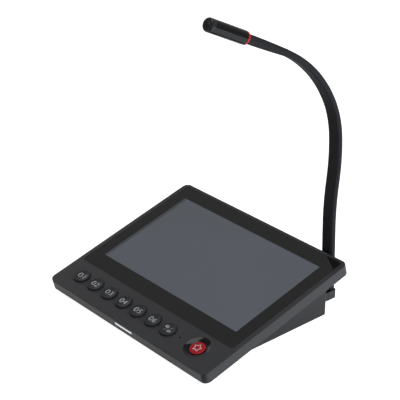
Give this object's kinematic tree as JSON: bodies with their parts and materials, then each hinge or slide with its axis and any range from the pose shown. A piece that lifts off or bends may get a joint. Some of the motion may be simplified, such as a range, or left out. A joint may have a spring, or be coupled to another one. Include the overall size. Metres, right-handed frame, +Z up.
{
  "type": "paging microphone",
  "caption": "Desk paging console: tilted touch panel with round keys and a red button on a wedge case, with a flat gooseneck carrying a slim microphone head.",
  "frame": {"origin": "middle of the bounding box, at the desk under the feet", "axes": "+Z up, +X to the right and -Y to the front, towards the user who faces the panel"},
  "size_m": [0.2656, 0.2203, 0.3731],
  "materials": {
    "black_shell": "fine satin texture",
    "cover_glass": "polished, dark behind",
    "screen": "smooth",
    "plated_steel": "plated",
    "key_plastic": "satin, printed legends",
    "red_plastic": "glossy translucent red",
    "circuit_board": "green solder mask",
    "switch_plastic": "moulded",
    "light_bar": "milky",
    "aluminium_can": "satin",
    "steel": "zinc plated",
    "foot_rubber": "matt",
    "speaker_black": "black",
    "socket_plastic": "moulded",
    "connector_plastic": "moulded",
    "lead_rubber": "matt",
    "neck_rubber": "matt sleeve",
    "red_ring": "translucent, lit red",
    "barrel_mesh": "fine mesh, painted black",
    "cap_plastic": "satin gloss"
  },
  "bodies": {
    "console": {"board_screw_1": "steel", "board_screw_2": "steel", "bracket_screw_1": "steel", "bracket_screw_2": "steel", "case_screw_1": "steel", "case_screw_2": "steel", "case_screw_3": "steel", "case_screw_4": "steel", "cover_glass": "cover_glass", "display_screen": "screen", "display_tray": "plated_steel", "emergency_switch": "switch_plastic", "foot_1": "foot_rubber", "foot_2": "foot_rubber", "foot_3": "foot_rubber", "foot_4": "foot_rubber", "key_board": "circuit_board", "key_switch_1": "switch_plastic", "key_switch_2": "switch_plastic", "key_switch_3": "switch_plastic", "key_switch_4": "switch_plastic", "key_switch_5": "switch_plastic", "key_switch_6": "switch_plastic", "light_bar": "light_bar", "line_jack": "socket_plastic", "lower_case": "black_shell", "main_board": "circuit_board", "neck_bracket": "black_shell", "neck_connector": "connector_plastic", "neck_foot": "neck_rubber", "neck_lead": "lead_rubber", "network_jack": "plated_steel", "panel_microphone": "aluminium_can", "power_jack": "socket_plastic", "shield_can": "plated_steel", "speaker": "speaker_black", "talk_switch": "switch_plastic", "top_cover": "black_shell"},
    "key_1": {"key_cap_1": "key_plastic"},
    "key_2": {"key_cap_2": "key_plastic"},
    "key_3": {"key_cap_3": "key_plastic"},
    "key_4": {"key_cap_4": "key_plastic"},
    "key_5": {"key_cap_5": "key_plastic"},
    "key_6": {"key_cap_6": "key_plastic"},
    "talk_key": {"talk_key": "key_plastic"},
    "emergency_button": {"emergency_button": "red_plastic"},
    "neck_1": {"neck_link_1": "neck_rubber"},
    "neck_2": {"neck_link_2": "neck_rubber"},
    "neck_3": {"neck_link_3": "neck_rubber"},
    "neck_4": {"neck_link_4": "neck_rubber"},
    "neck_5": {"neck_link_5": "neck_rubber"},
    "neck_6": {"neck_link_6": "neck_rubber"},
    "neck_7": {"neck_link_7": "neck_rubber"},
    "neck_8": {"neck_link_8": "neck_rubber"},
    "microphone_head": {"head_barrel": "barrel_mesh", "head_cap": "cap_plastic", "head_capsule": "aluminium_can", "head_collar": "neck_rubber", "light_ring": "red_ring", "neck_link_9": "neck_rubber"}
  },
  "joints": [
    {"name": "key_1_press", "type": "slide", "parent": "console", "child": "key_1", "axis": [0, 0.2588, -0.9659], "range_m": [0, 0.0012], "stiffness_N_per_m": 500, "springref_m": -0.001},
    {"name": "key_2_press", "type": "slide", "parent": "console", "child": "key_2", "axis": [0, 0.2588, -0.9659], "range_m": [0, 0.0012], "stiffness_N_per_m": 500, "springref_m": -0.001},
    {"name": "key_3_press", "type": "slide", "parent": "console", "child": "key_3", "axis": [0, 0.2588, -0.9659], "range_m": [0, 0.0012], "stiffness_N_per_m": 500, "springref_m": -0.001},
    {"name": "key_4_press", "type": "slide", "parent": "console", "child": "key_4", "axis": [0, 0.2588, -0.9659], "range_m": [0, 0.0012], "stiffness_N_per_m": 500, "springref_m": -0.001},
    {"name": "key_5_press", "type": "slide", "parent": "console", "child": "key_5", "axis": [0, 0.2588, -0.9659], "range_m": [0, 0.0012], "stiffness_N_per_m": 500, "springref_m": -0.001},
    {"name": "key_6_press", "type": "slide", "parent": "console", "child": "key_6", "axis": [0, 0.2588, -0.9659], "range_m": [0, 0.0012], "stiffness_N_per_m": 500, "springref_m": -0.001},
    {"name": "talk_key_press", "type": "slide", "parent": "console", "child": "talk_key", "axis": [0, 0.2588, -0.9659], "range_m": [0, 0.0012], "stiffness_N_per_m": 500, "springref_m": -0.001},
    {"name": "emergency_press", "type": "slide", "parent": "console", "child": "emergency_button", "axis": [0, 0.2588, -0.9659], "range_m": [0, 0.0015], "stiffness_N_per_m": 600, "springref_m": -0.001},
    {"name": "neck_1_bend", "type": "hinge", "parent": "console", "child": "neck_1", "pos_m": [0.0955, 0.103, 0.07857], "axis": [1, 0, 0], "range_deg": [-15, 15]},
    {"name": "neck_2_sway", "type": "hinge", "parent": "neck_1", "child": "neck_2", "pos_m": [0.0955, 0.10225, 0.10786], "axis": [0, 1, 0.0071], "range_deg": [-12, 12]},
    {"name": "neck_3_bend", "type": "hinge", "parent": "neck_2", "child": "neck_3", "pos_m": [0.0955, 0.1033, 0.13713], "axis": [1, 0, 0], "range_deg": [-15, 15]},
    {"name": "neck_4_bend", "type": "hinge", "parent": "neck_3", "child": "neck_4", "pos_m": [0.0955, 0.1062, 0.16629], "axis": [1, 0, 0], "range_deg": [-15, 15]},
    {"name": "neck_5_sway", "type": "hinge", "parent": "neck_4", "child": "neck_5", "pos_m": [0.0955, 0.10653, 0.19557], "axis": [0, 0.9989, 0.0465], "range_deg": [-12, 12]},
    {"name": "neck_6_bend", "type": "hinge", "parent": "neck_5", "child": "neck_6", "pos_m": [0.0955, 0.1024, 0.22451], "axis": [1, 0, 0], "range_deg": [-15, 15]},
    {"name": "neck_7_bend", "type": "hinge", "parent": "neck_6", "child": "neck_7", "pos_m": [0.0955, 0.09155, 0.25165], "axis": [1, 0, 0], "range_deg": [-15, 15]},
    {"name": "neck_8_sway", "type": "hinge", "parent": "neck_7", "child": "neck_8", "pos_m": [0.0955, 0.07523, 0.27594], "axis": [0, 0.7747, 0.6323], "range_deg": [-12, 12]},
    {"name": "neck_9_bend", "type": "hinge", "parent": "neck_8", "child": "microphone_head", "pos_m": [0.0955, 0.05472, 0.2968], "axis": [1, 0, 0], "range_deg": [-15, 15]}
  ]
}
